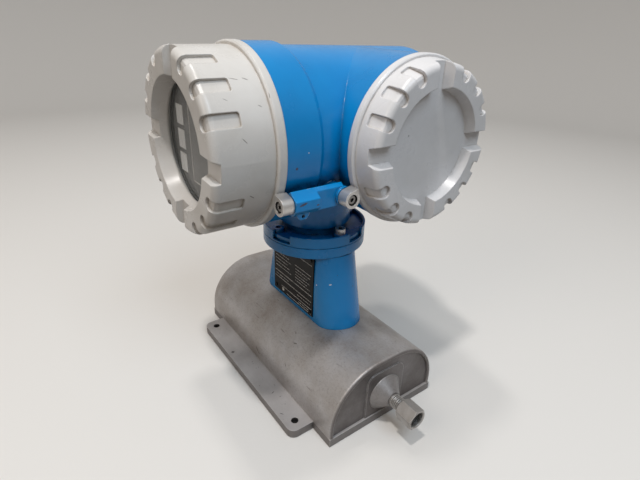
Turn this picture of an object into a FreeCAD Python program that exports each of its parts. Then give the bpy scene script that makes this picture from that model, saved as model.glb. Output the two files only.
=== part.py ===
import FreeCAD, Part
import math
import os
import re
import Sketcher

# Driving sizes in millimetres and degrees.
# X runs along the pipe, -Y is the display side, Z is up from the base's underside.
sizes = {
    # sensor casing and base
    "casing_length": 228,
    "casing_width": 120,
    "casing_height": 66,
    "casing_corner": 50,
    "casing_wall": 3,
    "rim_round": 2.4,
    "base_thick": 8,
    "wing_margin": 10,
    "wing_corner": 7,
    "bolt_span_x": 160,
    "bolt_span_y": 145,
    "bolt_hole_r": 3.25,
    "end_recess": 2.2,
    "end_thick": 5,
    "end_gap": 0.1,
    "field_width": 42,
    "field_top": 53.5,
    "field_raise": 1.2,
    "field_corner": 9,
    # process connection
    "pipe_height": 28.4,
    "dome_r": 17.5,
    "dome_length": 11,
    "dome_tip_r": 7.2,
    "gland_r": 5.2,
    "gland_bore_r": 3,
    "gland_reach": 28,
    "gland_collar_r": 6.4,
    "gland_collar_length": 2.8,
    "nut_flats": 17,
    "nut_turn": 13.5,
    "nut_reach": 38,
    "nut_length": 17,
    "nut_wall": 3.5,
    "nut_thread_r": 6.9,
    "nut_thread_length": 9.7,
    "nut_relief": 0.5,
    "nut_chamfer": 1.2,
    "nut_mouth": 0.9,
    "running_gap": 0.08,
    "moving_gap": 0.3,
    # inside the casing
    "tube_r": 4,
    "tube_wall": 0.8,
    "tube_rise": 14,
    "tube_crown": 110,
    "tube_bend_r": 20,
    "carrier_length": 176,
    "carrier_width": 44,
    "carrier_thick": 5,
    "carrier_cheek": 8,
    "carrier_height": 36,
    "coil_r": 9,
    "pickup_r": 6.5,
    "pickup_span": 72,
    "arch_margin": 9,
    "probe_r": 6,
    "probe_share": 0.48,
    "feed_r": 7,
    "feed_flange_r": 11,
    "feed_flange_thick": 3,
    "feed_rise": 14,
    # pedestal
    "pedestal_height": 68,
    "pedestal_width": 45.6,
    "foot_sink": 5,
    "foot_length": 128.5,
    "head_length": 96,
    "collar_r": 47.6,
    "collar_thick": 9.8,
    "collar_round": 1,
    "pedestal_bore_r": 17,
    "plate_width": 67.4,
    "plate_height": 62,
    "plate_foot": 3,
    "plate_thick": 0.9,
    "rivet_r": 1.8,
    "rivet_head": 0.8,
    "rivet_inset": 4,
    # neck and bayonet ring
    "axis_rise": 92.8,
    "spigot_r": 30,
    "spigot_length": 6.5,
    "neck_bore_r": 20,
    "neck_r": 33,
    "bell_r": 45.2,
    "bell_height": 6,
    "neck_edge": 12.3,
    "neck_groove_r": 30,
    "seat_height": 9,
    "seat_r": 5.6,
    "seat_circle_r": 39.2,
    "fixing_r": 2.5,
    "fixing_head_r": 4.6,
    "fixing_head": 4.8,
    "fixing_depth": 6,
    "fixing_socket": 4,
    "ring_height": 9.6,
    "ring_gap_angle": 23.5,
    "ring_gap_at": 17,
    "ring_foot": 1.4,
    "neck_seal_r": 0.9,
    # transmitter housing
    "body_r": 65.7,
    "rear_r": 64,
    "rear_reach": 103,
    "rear_round": 13,
    "step_front": 45,
    "step_back": 41,
    "front_barrel_r": 68.4,
    "terminal_offset": 37.6,
    "terminal_barrel_r": 64.1,
    "display_bore_r": 56,
    "display_bore_end": 24,
    "terminal_bore_r": 52,
    "terminal_bore_end": 30,
    "entry_r": 10,
    "entry_boss_r": 15,
    "entry_reach": 73,
    "entry_span": 44,
    "earth_boss_r": 8,
    "earth_boss_rise": 3,
    "earth_x": 26,
    "earth_drop": 24,
    # display cover
    "display_seat": 73,
    "display_flange_r": 69.1,
    "display_flange_thick": 6.6,
    "display_body_r": 66,
    "display_rim_r": 65.8,
    "display_length": 51.1,
    "display_round": 5.5,
    "display_well_r": 47.4,
    "display_floor_r": 43.7,
    "display_well_depth": 10.6,
    "display_notch_width": 16,
    "display_notch_depth": 5.3,
    "display_notch_turn": -3.6,
    "display_grip_r": 4.8,
    "display_grip_depth": 2.2,
    "display_grip_length": 22.8,
    "display_grip_turn": -0.8,
    "display_thread_r": 62,
    "display_nose": 14,
    "glass_thick": 3,
    "glass_lap": 4.5,
    "lip_thick": 1.5,
    "retainer_thick": 2,
    "retainer_width": 12,
    # terminal cover
    "terminal_seat": 75,
    "terminal_flange_r": 64.8,
    "terminal_flange_thick": 5.6,
    "terminal_body_r": 62.2,
    "terminal_rim_r": 59.6,
    "terminal_length": 24.9,
    "terminal_round": 5,
    "terminal_well_r": 43.9,
    "terminal_floor_r": 41.2,
    "terminal_well_depth": 8,
    "terminal_notch_width": 16,
    "terminal_notch_depth": 8,
    "terminal_notch_turn": 0,
    "terminal_grip_r": 4.6,
    "terminal_grip_depth": 2.2,
    "terminal_grip_length": 14.8,
    "terminal_grip_turn": 2,
    "terminal_thread_r": 57.4,
    "terminal_nose": 9,
    "terminal_plate_thick": 5,
    # shared by both covers
    "flange_bevel": 1.2,
    "notch_lean": 0.3,
    "grip_corner": 1.8,
    "grip_spacing": 20,
    "thread_gap": 0.4,
    "seal_r": 1,
    # display module and electronics
    "module_r": 43.4,
    "module_thick": 10,
    "module_gap": 0.8,
    "module_pivot_r": 12,
    "screen_width": 36,
    "screen_height": 58,
    "screen_shift": 9,
    "key_width": 13,
    "key_height": 14.6,
    "key_pitch": 18.4,
    "key_shift": 26.7,
    "module_drop": 2.4,
    "key_thick": 0.5,
    "carrier_plate_thick": 4,
    "board_r": 50,
    "board_thick": 1.6,
    "board_pitch": 18,
    "post_r": 3,
    "post_circle_r": 45,
    "post_turn": 45,
    # terminal compartment
    "terminal_plate_t": 3,
    "block_length": 64,
    "block_width": 24,
    "block_height": 16,
    "block_screws": 7,
    "block_screw_r": 3,
    "block_screw_head": 1.5,
    # cover claws
    "display_claw_reach": 78.1,
    "display_claw_angle": 23.7,
    "terminal_claw_reach": 73.7,
    "terminal_claw_angle": 25.7,
    "claw_r": 6.5,
    "claw_length": 9,
    "claw_turn": 14,
    "claw_screw_r": 2,
    "claw_head_r": 3.1,
    "claw_sink_r": 4.2,
    "claw_head_sink": 4.6,
    "claw_socket": 3,
    "bridge_r": 7.4,
    "bridge_relief": 23.5,
    "side_boss_rise": 2.2,
    "lug_width": 11,
    "lug_drop": 3.8,
    "lug_thick": 3,
    "lug_hole_r": 1.3,
    "lug_setback": 8.5,
    # cable glands and earth screw
    "cable_r": 4.5,
    "gland_hex": 24,
    "gland_hex_thick": 6,
    "gland_thread_length": 14,
    "gland_nut_r": 11.6,
    "gland_nut_length": 13,
    "gland_insert_r": 8,
    "gland_insert_out": 1.5,
    "earth_head_r": 5,
    "earth_head": 3.4,
    "earth_washer_r": 7,
    "earth_washer": 1.2,
    "earth_slot": 1.4,
}

doc = FreeCAD.newDocument("flow_meter")
sheet = doc.addObject("Spreadsheet::Sheet", "Sizes")
for row, (name, number) in enumerate(sizes.items(), start=1):
    sheet.set(f"A{row}", name)
    sheet.set(f"B{row}", str(number))
    sheet.setAlias(f"B{row}", name)
doc.recompute()

UP = FreeCAD.Vector(0, 0, 1)
ACROSS = FreeCAD.Vector(0, 1, 0)
AS_DRAWN = FreeCAD.Rotation()
HALF_TURN = FreeCAD.Rotation(UP, 180)
TO_FRONT = FreeCAD.Rotation(UP, FreeCAD.Vector(0, -1, 0))
TO_REAR = FreeCAD.Rotation(UP, FreeCAD.Vector(0, 1, 0))
TO_RIGHT = FreeCAD.Rotation(UP, FreeCAD.Vector(1, 0, 0))
TO_LEFT = FreeCAD.Rotation(UP, FreeCAD.Vector(-1, 0, 0))
HERE = ("0", "0", "0")
QUARTERS = (0, 90, 180, 270)

# Heights that many pieces share
COLLAR = "(casing_height + pedestal_height)"
COLLAR_TOP = "(casing_height + pedestal_height + collar_thick)"
AXIS = "(casing_height + pedestal_height + collar_thick + axis_rise)"
END_FACE = "(casing_length / 2 - end_recess)"
DISPLAY_AXIS = ("0", "-display_seat", AXIS)
TERMINAL_AXIS = ("terminal_seat", "terminal_offset", AXIS)

nodes = []


def bound(text):
    """An expression in which each size's name points at its cell."""
    return re.sub(r"[a-z_]+", lambda m: "Sizes." * (m.group() in sizes) + m.group(), text)


def node(thing):
    """Marks a document object as a finished piece that gets a file of its own."""
    nodes.append(thing)
    return thing


def place(thing, at, rotation):
    thing.Placement = FreeCAD.Placement(FreeCAD.Vector(), rotation)
    for side, text in zip("xyz", at):
        thing.setExpression("Placement.Base." + side, bound(text))
    return thing


def new_body(label, at, rotation):
    body = doc.addObject("PartDesign::Body", label)
    body.Label = label
    return place(body, at, rotation)


def origin(body, role):
    return next(part for part in body.Origin.OriginFeatures if part.Role == role)


def new_sketch(body, role, raised="0", spin=None, spin_axis=UP):
    """A sketch on one of the body's own planes, lifted along its normal and turned about an axis."""
    made = body.newObject("Sketcher::SketchObject", body.Label + "_sketch")
    made.AttachmentSupport = [(origin(body, role), "")]
    made.MapMode = "FlatFace"
    made.AttachmentOffset = FreeCAD.Placement(FreeCAD.Vector(), FreeCAD.Rotation(spin_axis, 0))
    made.setExpression("AttachmentOffset.Base.z", bound(raised))
    if spin:
        made.AttachmentOffset = FreeCAD.Placement(FreeCAD.Vector(), FreeCAD.Rotation(spin_axis, 1))
        made.setExpression("AttachmentOffset.Rotation.Angle", bound(spin))
    return made


def fix_point(sketch, geometry, end, x, y, start=(1, 1)):
    """Ties a point to two expressions; start is where it stands before the first recompute."""
    for kind, text, first in (("DistanceX", x, start[0]), ("DistanceY", y, start[1])):
        index = sketch.addConstraint(Sketcher.Constraint(kind, -1, 1, geometry, end, first))
        sketch.setExpression(f"Constraints[{index}]", bound(text))


def add_outline(sketch, points):
    """A closed outline of straight lines through points given as expressions."""
    count = len(points)
    first = sketch.GeometryCount
    ring = [2 * math.pi * i / count for i in range(count)]
    corners = [FreeCAD.Vector(math.cos(a), math.sin(a), 0) for a in ring]
    for i in range(count):
        sketch.addGeometry(Part.LineSegment(corners[i], corners[(i + 1) % count]))
    for i in range(count):
        sketch.addConstraint(Sketcher.Constraint("Coincident", first + i, 2, first + (i + 1) % count, 1))
    for i, (x, y) in enumerate(points):
        fix_point(sketch, first + i, 1, x, y)
    return sketch


def add_circle(sketch, x, y, radius):
    index = sketch.addGeometry(Part.Circle(FreeCAD.Vector(), UP, 1))
    fix_point(sketch, index, 3, x, y)
    size = sketch.addConstraint(Sketcher.Constraint("Radius", index, 1))
    sketch.setExpression(f"Constraints[{size}]", bound(radius))
    return sketch


def add_obround(sketch, length, width):
    """A slot outline along X with round ends; both sizes are names in the sheet."""
    centre, radius = (sizes[length] - sizes[width]) / 2, sizes[width] / 2
    for side, turn in ((1, 0), (-1, math.pi)):
        circle = Part.Circle(FreeCAD.Vector(side * centre, 0, 0), UP, radius)
        sketch.addGeometry(Part.ArcOfCircle(circle, turn - math.pi / 2, turn + math.pi / 2))
    for side in (1, -1):
        ends = [FreeCAD.Vector(x * side * centre, side * radius, 0) for x in (1, -1)]
        sketch.addGeometry(Part.LineSegment(*ends))
    for arc, side in ((0, 1), (1, -1)):
        for end in (1, 2):
            sketch.addConstraint(Sketcher.Constraint("Vertical", arc, end, arc, 3))
        sketch.addConstraint(Sketcher.Constraint("Coincident", arc + 2, 1, arc, 2))
        sketch.addConstraint(Sketcher.Constraint("Coincident", arc + 2, 2, 1 - arc, 1))
        size = sketch.addConstraint(Sketcher.Constraint("Radius", arc, radius))
        sketch.setExpression(f"Constraints[{size}]", bound(f"{width} / 2"))
        fix_point(sketch, arc, 3, f"{side} * ({length} - {width}) / 2", "0", (side * centre, 0))
    return sketch


def turned(label, outline, at=HERE, rotation=AS_DRAWN):
    """A body of revolution about its own Z, from an outline of (radius, height) expressions."""
    body = new_body(label, at, rotation)
    turn = body.newObject("PartDesign::Revolution", label + "_turn")
    turn.Profile = add_outline(new_sketch(body, "XZ_Plane"), outline)
    turn.ReferenceAxis = (origin(body, "Z_Axis"), [""])
    turn.Angle = 360
    return body


def tube(label, inner, outer, low, high, at=HERE, rotation=AS_DRAWN):
    outline = [(inner, low), (outer, low), (outer, high), (inner, high)]
    return turned(label, outline, at, rotation)


def prism(label, role, outline, length, at=HERE, rotation=AS_DRAWN, raised="0", spin=None, both=False):
    """A body padded from an outline on one of its own planes."""
    body = new_body(label, at, rotation)
    pad = body.newObject("PartDesign::Pad", label + "_pad")
    pad.Profile = add_outline(new_sketch(body, role, raised, spin), outline)
    pad.setExpression("Length", bound(length))
    pad.Midplane = both
    return body


def box_outline(left, right, low, high):
    return [(left, low), (right, low), (right, high), (left, high)]


def rod(label, radius, length, at, rotation):
    """A plain cylinder, used as a form to join or to cut with."""
    made = doc.addObject("Part::Cylinder", label)
    made.setExpression("Radius", bound(radius))
    made.setExpression("Height", bound(length))
    return place(made, at, rotation)


def fuse(label, parts):
    made = doc.addObject("Part::MultiFuse", label)
    made.Shapes = parts
    made.Refine = True
    made.Label = label
    return made


def cut(label, base, tools):
    made = doc.addObject("Part::Cut", label)
    made.Base = base
    made.Tool = tools[0] if len(tools) == 1 else fuse(label + "_tools", tools)
    made.Refine = True
    made.Label = label
    return made


def common(label, base, tool):
    made = doc.addObject("Part::Common", label)
    made.Base = base
    made.Tool = tool
    made.Label = label
    return made


def group(label, parts):
    """Several separate solids of one kind, kept together in one piece's file."""
    made = doc.addObject("Part::Compound", label)
    made.Links = parts
    made.Label = label
    return made


def edges_where(feature, test):
    """Names of a feature's edges whose middle point passes a test."""
    found = []
    for i, edge in enumerate(feature.Shape.Edges, start=1):
        middle = edge.valueAt((edge.FirstParameter + edge.LastParameter) / 2)
        if test(edge, middle):
            found.append(f"Edge{i}")
    return found


def round_edges(body, label, test, radius):
    """Adds a fillet to the edges of the body's last feature that pass the test."""
    doc.recompute()
    base = body.Tip
    fillet = body.newObject("PartDesign::Fillet", label)
    fillet.Base = (base, edges_where(base, test))
    fillet.setExpression("Radius", bound(radius))
    return fillet


def near(a, b):
    return abs(a - b) < 1e-4


def radial(edge, middle):
    """Whether an edge points straight at the body's Z."""
    along_edge = edge.Vertexes[-1].Point - edge.Vertexes[0].Point
    outward = FreeCAD.Vector(middle.x, middle.y, 0)
    return abs(along_edge.dot(outward)) > 0.95 * along_edge.Length * outward.Length > 0


def polar(body, label, originals, count):
    pattern = body.newObject("PartDesign::PolarPattern", label)
    pattern.Originals = originals
    pattern.Axis = (origin(body, "Z_Axis"), [""])
    pattern.Angle = 360
    pattern.Occurrences = count
    body.Tip = pattern
    return pattern


def pocket(body, label, sketch, depth, reverse=False, both=False):
    made = body.newObject("PartDesign::Pocket", label)
    made.Profile = sketch
    made.setExpression("Length", bound(depth))
    made.Reversed = reverse
    made.Midplane = both
    return made


def hexagon(flats):
    """Corner points of a hexagon from its width across flats."""
    long, short, half = f"{flats} / sqrt(3)", f"{flats} / sqrt(3) / 2", f"{flats} / 2"
    return [(long, "0"), (short, half), ("-" + short, half),
            ("-" + long, "0"), ("-" + short, "-" + half), (short, "-" + half)]


# Base plate: one flat plate with a wing on each side for the fixing bolts
half_length, half_width = "casing_length / 2", "casing_width / 2"
half_wing, wing_edge = "(bolt_span_x / 2 + wing_margin)", "(bolt_span_y / 2 + wing_margin)"
base_outline = [
    ("-" + half_length, "-" + half_width), ("-" + half_wing, "-" + half_width),
    ("-" + half_wing, "-" + wing_edge), (half_wing, "-" + wing_edge),
    (half_wing, "-" + half_width), (half_length, "-" + half_width),
    (half_length, half_width), (half_wing, half_width),
    (half_wing, wing_edge), ("-" + half_wing, wing_edge),
    ("-" + half_wing, half_width), ("-" + half_length, half_width),
]
base_plate = node(prism("base_plate", "XY_Plane", base_outline, "base_thick"))
round_edges(
    base_plate, "wing_rounding",
    lambda edge, p: near(abs(p.x), sizes["bolt_span_x"] / 2 + sizes["wing_margin"])
    and near(abs(p.y), sizes["bolt_span_y"] / 2 + sizes["wing_margin"]),
    "wing_corner")
bolt_holes = new_sketch(base_plate, "XY_Plane", "base_thick")
for side_x in ("", "-"):
    for side_y in ("", "-"):
        add_circle(bolt_holes, side_x + "bolt_span_x / 2", side_y + "bolt_span_y / 2", "bolt_hole_r")
pocket(base_plate, "bolt_hole_cut", bolt_holes, "base_thick + 1")


def half_round(label, inset, length):
    """The casing's half-round section as a long block, drawn in by an inset on its sides and top."""
    edge, top = f"(casing_width / 2 - {inset})", f"(casing_height - {inset})"
    body = prism(label, "YZ_Plane", box_outline("-" + edge, edge, "base_thick", top), length, both=True)
    round_edges(
        body, label + "_rounding",
        lambda e, p: near(e.Length, e.BoundBox.XLength) and p.z > sizes["casing_height"] / 2,
        f"casing_corner - {inset}")
    return body


# Sensor casing: a half-round shell, open at both ends where the end plates are welded in
casing_form = half_round("casing_form", "0", "casing_length")
round_edges(
    casing_form, "casing_rim",
    lambda e, p: near(abs(p.x), sizes["casing_length"] / 2) and p.z > sizes["base_thick"] + 0.1,
    "rim_round")
casing_hollow = half_round("casing_hollow", "casing_wall", "casing_length + 2")
feed_hole = rod(
    "feed_hole", "feed_r + moving_gap", "casing_wall + 2",
    ("0", "0", "casing_height - casing_wall - 1"), AS_DRAWN)
sensor_casing = node(cut("sensor_casing", casing_form, [casing_hollow, feed_hole]))

# Process ends: end plate with a raised field, welded cone, gland tube and captive coupling nut
plate_edge = "(casing_width / 2 - casing_wall - end_gap)"
plate_top = "(casing_height - casing_wall - end_gap)"
dome_foot = f"({END_FACE} + field_raise)"
dome_tip = f"({dome_foot} + dome_length)"
gland_face = "(casing_length / 2 + gland_reach)"
collar_back = f"({gland_face} - gland_collar_length)"
nut_end = "(casing_length / 2 + nut_reach)"
nut_back = f"({nut_end} - nut_length)"
nut_seat = f"({nut_back} + nut_wall)"
thread_back = f"({nut_end} - nut_thread_length)"
gland_start = f"({END_FACE} - end_thick)"
for end, plan_turn, outward in (("inlet", HALF_TURN, TO_LEFT), ("outlet", AS_DRAWN, TO_RIGHT)):
    plate = node(prism(
        end + "_end_plate", "YZ_Plane", box_outline("-" + plate_edge, plate_edge, "base_thick", plate_top),
        "end_thick", rotation=plan_turn, raised=f"{END_FACE} - end_thick"))
    round_edges(
        plate, end + "_plate_rounding",
        lambda e, p: near(e.Length, e.BoundBox.XLength) and p.z > sizes["casing_height"] / 2,
        "casing_corner - casing_wall - end_gap")
    field = plate.newObject("PartDesign::Pad", end + "_field")
    field.Profile = add_outline(
        new_sketch(plate, "YZ_Plane", END_FACE),
        box_outline("-field_width / 2", "field_width / 2", "base_thick", "field_top"))
    field.setExpression("Length", bound("field_raise"))
    round_edges(
        plate, end + "_field_rounding",
        lambda e, p: near(e.Length, sizes["field_raise"]) and near(p.z, sizes["field_top"]),
        "field_corner")
    gland_hole = add_circle(
        new_sketch(plate, "YZ_Plane", dome_foot), "0", "pipe_height", "gland_r + end_gap")
    pocket(plate, end + "_gland_hole", gland_hole, "field_raise + end_thick + 1")

    at_pipe = ("0", "0", "pipe_height")
    node(turned(end + "_dome", [
        ("gland_r + end_gap", dome_foot), ("dome_r", dome_foot), ("dome_tip_r", dome_tip),
        ("gland_r + end_gap", dome_tip),
    ], at_pipe, outward))
    node(turned(end + "_gland", [
        ("gland_bore_r", gland_start), ("gland_r", gland_start), ("gland_r", collar_back),
        ("gland_collar_r", collar_back), ("gland_collar_r", gland_face), ("gland_bore_r", gland_face),
    ], at_pipe, outward))

    hexagonal = prism(
        end + "_nut_hexagon", "XY_Plane", hexagon("nut_flats"), "nut_length", at_pipe, outward,
        raised=nut_back, spin="nut_turn")
    full, small = "(nut_flats / sqrt(3) + 0.5)", "(nut_flats / 2 - 0.3)"
    chamfered = turned(end + "_nut_chamfer", [
        ("0", nut_back), (small, nut_back), (full, nut_back + " + nut_chamfer"),
        (full, nut_end + " - nut_chamfer"), (small, nut_end), ("0", nut_end),
    ], at_pipe, outward)
    nut_bore = turned(end + "_nut_bore", [
        ("0", nut_back + " - 1"), ("gland_r + running_gap", nut_back + " - 1"),
        ("gland_r + running_gap", nut_seat), ("nut_thread_r + nut_relief", nut_seat),
        ("nut_thread_r + nut_relief", thread_back), ("nut_thread_r", thread_back),
        ("nut_thread_r", nut_end + " - nut_mouth"), ("nut_thread_r + nut_mouth", nut_end),
        ("nut_thread_r + nut_mouth", nut_end + " + 1"), ("0", nut_end + " + 1"),
    ], at_pipe, outward)
    node(cut(end + "_nut", common(end + "_nut_blank", hexagonal, chamfered), [nut_bore]))


def bent_line(points, radius):
    """A wire of straight runs joined by tangent arcs of one radius."""
    edges, last = [], points[0]
    for before, corner, after in zip(points, points[1:], points[2:]):
        inward, onward = (before - corner).normalize(), (after - corner).normalize()
        half = inward.getAngle(onward) / 2
        start = corner + inward * (radius / math.tan(half))
        finish = corner + onward * (radius / math.tan(half))
        bisector = (inward + onward).normalize()
        middle = corner + bisector * (radius / math.sin(half) - radius)
        edges.append(Part.LineSegment(last, start).toShape())
        edges.append(Part.Arc(start, middle, finish).toShape())
        last = finish
    edges.append(Part.LineSegment(last, points[-1]).toShape())
    return Part.Wire(edges)


# Measuring tube: one tube bent into a low arch between the two glands
def size(name):
    return float(sheet.get(name))


tube_end = size("casing_length") / 2 - size("end_recess") - size("end_thick")
low, high = size("pipe_height"), size("pipe_height") + size("tube_rise")
arch_foot = size("carrier_length") / 2 - size("carrier_cheek") - size("arch_margin")
route = bent_line([
    FreeCAD.Vector(-tube_end, 0, low), FreeCAD.Vector(-arch_foot, 0, low),
    FreeCAD.Vector(-size("tube_crown") / 2, 0, high), FreeCAD.Vector(size("tube_crown") / 2, 0, high),
    FreeCAD.Vector(arch_foot, 0, low), FreeCAD.Vector(tube_end, 0, low),
], size("tube_bend_r"))
along = FreeCAD.Vector(1, 0, 0)


def swept(radius):
    section = Part.Wire(Part.makeCircle(radius, FreeCAD.Vector(-tube_end, 0, low), along))
    return route.makePipeShell([section], True, True)


measuring_tube = node(doc.addObject("Part::Feature", "measuring_tube"))
measuring_tube.Shape = swept(size("tube_r")).cut(swept(size("tube_r") - size("tube_wall")))

# Tube carrier: a U-shaped bracket on the base plate that clamps the tube at both ends
cheek_in = "(carrier_length / 2 - carrier_cheek)"
carrier_floor, carrier_top = "(base_thick + carrier_thick)", "(base_thick + carrier_height)"
tube_carrier = node(prism("tube_carrier", "XZ_Plane", [
    ("-carrier_length / 2", "base_thick"), ("carrier_length / 2", "base_thick"),
    ("carrier_length / 2", carrier_top), (cheek_in, carrier_top), (cheek_in, carrier_floor),
    ("-" + cheek_in, carrier_floor), ("-" + cheek_in, carrier_top), ("-carrier_length / 2", carrier_top),
], "carrier_width", both=True))
tube_hole = add_circle(new_sketch(tube_carrier, "YZ_Plane"), "0", "pipe_height", "tube_r + end_gap")
pocket(tube_carrier, "tube_hole_cut", tube_hole, "carrier_length + 2", both=True)

# Drive coil under the tube's crown, and the two pickup coils beside it
crown_under = "(pipe_height + tube_rise - tube_r - moving_gap)"


def coil(label, radius, x):
    """A bobbin with two flanges, standing on the carrier."""
    waist = f"{radius} * 0.75"
    return turned(label, [
        ("0", carrier_floor), (radius, carrier_floor), (radius, carrier_floor + " + 2"),
        (waist, carrier_floor + " + 2"), (waist, crown_under + " - 2"),
        (radius, crown_under + " - 2"), (radius, crown_under), ("0", crown_under),
    ], (x, "0", "0"))


node(coil("drive_coil", "coil_r", "0"))
pickups = [coil("pickup_coil_" + way, "pickup_r", sign + "pickup_span / 2") for way, sign in
           (("inlet", "-"), ("outlet", ""))]
node(group("pickup_coils", pickups))

# Temperature sensor: a sleeve clamped on the tube, in the room between the carrier and the gland
node(tube(
    "temperature_sensor", "tube_r + end_gap", "probe_r", "carrier_length / 2",
    f"carrier_length / 2 + probe_share * ({gland_start} - carrier_length / 2)",
    ("0", "0", "pipe_height"), TO_RIGHT))

# Signal feedthrough: sealed plug that takes the coil wires up through the casing's top
node(turned("signal_feedthrough", [
    ("0", "-casing_wall - 3"), ("feed_r", "-casing_wall - 3"), ("feed_r", "0"), ("feed_flange_r", "0"),
    ("feed_flange_r", "feed_flange_thick"), ("feed_r", "feed_flange_thick"), ("feed_r", "feed_rise"),
    ("0", "feed_rise"),
], ("0", "0", "casing_height")))

# Pedestal: an obround column that tapers up to a round collar, its foot cut to the casing's back
column = new_body("pedestal_column", HERE, AS_DRAWN)
column_loft = column.newObject("PartDesign::AdditiveLoft", "column_loft")
column_loft.Profile = add_obround(
    new_sketch(column, "XY_Plane", "casing_height - foot_sink"), "foot_length", "pedestal_width")
column_loft.Sections = [add_obround(new_sketch(column, "XY_Plane", COLLAR), "head_length", "pedestal_width")]
collar = tube("pedestal_collar", "pedestal_bore_r", "collar_r", "0", "collar_thick", ("0", "0", COLLAR))
round_edges(
    collar, "collar_rounding", lambda e, p: near(math.hypot(p.x, p.y), sizes["collar_r"]) and e.Closed,
    "collar_round")
column_bore = rod(
    "column_bore", "pedestal_bore_r", "pedestal_height + foot_sink + 2",
    ("0", "0", "casing_height - foot_sink - 1"), AS_DRAWN)
spigot_bore = rod(
    "spigot_bore", "spigot_r + running_gap", "spigot_length + 2",
    ("0", "0", COLLAR_TOP + " - spigot_length - moving_gap"), AS_DRAWN)
pedestal = node(cut(
    "pedestal", fuse("pedestal_form", [column, collar]), [casing_form, column_bore, spigot_bore]))

# Nameplate without words on the pedestal's flat side, held by four drive rivets
plate_low = "(casing_height + plate_foot)"
nameplate = node(prism(
    "nameplate", "XZ_Plane",
    box_outline("-plate_width / 2", "plate_width / 2", plate_low, plate_low + " + plate_height"),
    "plate_thick", raised="pedestal_width / 2"))
rivets = []
plate_face = "-pedestal_width / 2 - plate_thick"
for side, way in (("-", "left"), ("", "right")):
    for height, level in (("rivet_inset", "low"), ("plate_height - rivet_inset", "high")):
        rivet_at = (f"{side}(plate_width / 2 - rivet_inset)", plate_face, f"{plate_low} + {height}")
        rivets.append(rod(f"rivet_{way}_{level}", "rivet_r", "rivet_head", rivet_at, TO_FRONT))
node(group("nameplate_rivets", rivets))


def sector_cut(body, label, outline, spin, angle):
    """Cuts a part-turn groove about the body's Z, centred on the angle spin."""
    groove = body.newObject("PartDesign::Groove", label)
    turned_plane = new_sketch(body, "XZ_Plane", spin=spin, spin_axis=ACROSS)
    groove.Profile = add_outline(turned_plane, outline)
    groove.ReferenceAxis = (origin(body, "Z_Axis"), [""])
    groove.setExpression("Angle", bound(angle))
    groove.Midplane = True
    return groove


# Bayonet ring: a turning catch around the neck's flange with four windows, resting on the collar
ring = node(tube(
    "bayonet_ring", "bell_r + moving_gap", "collar_r", "moving_gap", "ring_height", ("0", "0", COLLAR_TOP)))
window = sector_cut(
    ring, "ring_window",
    box_outline("bell_r - 1", "collar_r + 1", "moving_gap + ring_foot", "ring_height + 1"),
    "ring_gap_at", "ring_gap_angle")
polar(ring, "ring_windows", [window], 4)

# Transmitter housing: display barrel, terminal barrel, neck with its flange, claw bridge and cable bosses
display_end, terminal_end = "(display_seat - moving_gap)", "(terminal_seat - moving_gap)"
display_tip, terminal_tip = "(display_seat + display_nose)", "(terminal_seat + terminal_nose)"
main_form = turned("main_barrel_form", [
    ("0", "-rear_reach"), ("rear_r", "-rear_reach"), ("body_r", "step_back"),
    ("front_barrel_r", "step_front"), ("front_barrel_r", display_end), ("display_thread_r", display_end),
    ("display_thread_r", display_tip), ("0", display_tip),
], ("0", "0", AXIS), TO_FRONT)
round_edges(
    main_form, "rear_rounding",
    lambda e, p: near(p.z, -sizes["rear_reach"]) and near(math.hypot(p.x, p.y), sizes["rear_r"]),
    "rear_round")
terminal_form = turned("terminal_barrel_form", [
    ("0", "0"), ("terminal_barrel_r", "0"), ("terminal_barrel_r", terminal_end),
    ("terminal_thread_r", terminal_end), ("terminal_thread_r", terminal_tip), ("0", terminal_tip),
], ("0", "terminal_offset", AXIS), TO_RIGHT)
seal_low, seal_high = "-spigot_length / 2 - neck_seal_r - 0.2", "-spigot_length / 2 + neck_seal_r + 0.2"
seal_floor = "(spigot_r - 2 * neck_seal_r - 0.5)"
neck_form = turned("neck_form", [
    ("neck_bore_r", "-spigot_length"), ("spigot_r", "-spigot_length"), ("spigot_r", seal_low),
    (seal_floor, seal_low), (seal_floor, seal_high), ("spigot_r", seal_high), ("spigot_r", "moving_gap"),
    ("bell_r", "moving_gap"), ("bell_r", "bell_height"), ("neck_groove_r", "bell_height"),
    ("neck_groove_r", "neck_edge"), ("neck_r", "neck_edge"), ("neck_r", "axis_rise / 2"),
    ("neck_bore_r", "axis_rise / 2"),
], ("0", "0", COLLAR_TOP))

claw_x = "(display_claw_reach * cos(display_claw_angle))"
claw_z = f"({AXIS} - display_claw_reach * sin(display_claw_angle))"
side_claw_y = "(terminal_offset - terminal_claw_reach * cos(terminal_claw_angle))"
side_claw_z = f"({AXIS} - terminal_claw_reach * sin(terminal_claw_angle))"
bridge_section = [(-2.2, -0.5), (0.02, 1.26), (1.04, 0.48), (1.08, -0.42), (0.52, -1), (-2.7, -1.2)]
bridge = prism(
    "bridge_form", "XZ_Plane", [(f"{x} * bridge_r", f"{y} * bridge_r") for x, y in bridge_section],
    f"{display_end} + {side_claw_y}", (claw_x, side_claw_y, claw_z))
bridge_relief = prism(
    "bridge_relief_form", "XZ_Plane", box_outline("0", "3 * bridge_r", "-3 * bridge_r", "3 * bridge_r"),
    "bridge_relief + 3 * claw_r", (terminal_end, side_claw_y + " + 3 * claw_r", claw_z))
side_boss = rod(
    "side_boss", "bridge_r", f"{terminal_end} + side_boss_rise - 45",
    ("45", side_claw_y, side_claw_z), TO_RIGHT)
lug_x, lug_y = f"({claw_x} + lug_thick / 2)", "(-display_seat + lug_setback)"
lug_low = "(-bridge_r - lug_drop)"
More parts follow.
